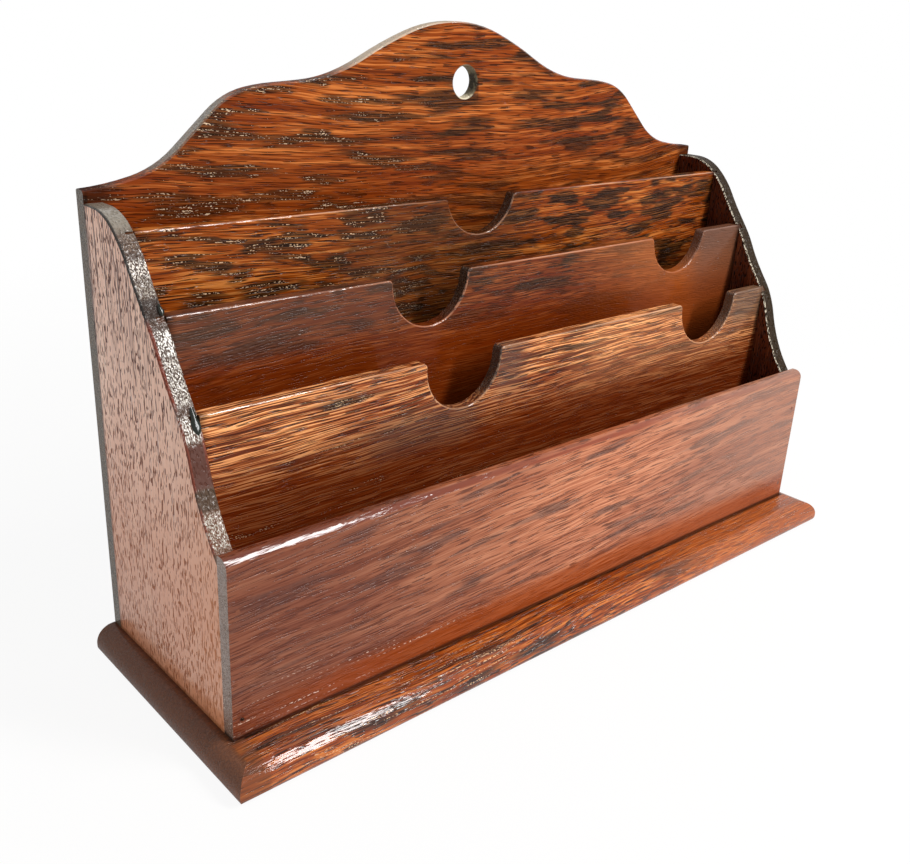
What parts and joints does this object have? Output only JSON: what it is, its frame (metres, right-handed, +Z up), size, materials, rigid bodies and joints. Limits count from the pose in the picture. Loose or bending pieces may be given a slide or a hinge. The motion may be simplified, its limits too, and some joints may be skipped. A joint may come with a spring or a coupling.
{
  "type": "letter rack",
  "caption": "Wooden letter rack: a scrolled back board, serpentine sides, stepped dividers with finger scoops, a low front and a moulded base, with a hole to hang it by.",
  "frame": {"origin": "centre of the base board's underside, which is also the centre of the part's footprint", "axes": "+X along the rack, to the right seen from the front; +Y from the front to the back board; +Z up"},
  "size_m": [0.32, 0.102, 0.2203],
  "materials": {
    "base_oak": "stained and gloss varnished",
    "back_oak": "stained and gloss varnished",
    "left_side_oak": "stained and gloss varnished",
    "right_side_oak": "stained and gloss varnished",
    "rear_divider_oak": "stained and gloss varnished",
    "middle_divider_oak": "stained and gloss varnished",
    "front_divider_oak": "stained and gloss varnished",
    "front_board_oak": "stained and gloss varnished",
    "brad_steel": "dulled steel wire",
    "stopping_wax": "brown wax, varnished over"
  },
  "bodies": {
    "root": {"base_board": "base_oak", "back_board": "back_oak", "left_side": "left_side_oak", "right_side": "right_side_oak", "rear_divider": "rear_divider_oak", "middle_divider": "middle_divider_oak", "front_divider": "front_divider_oak", "front_board": "front_board_oak", "front_brads": "brad_steel", "back_brads": "brad_steel", "base_brads": "brad_steel", "brad_stoppings": "stopping_wax"}
  },
  "joints": []
}
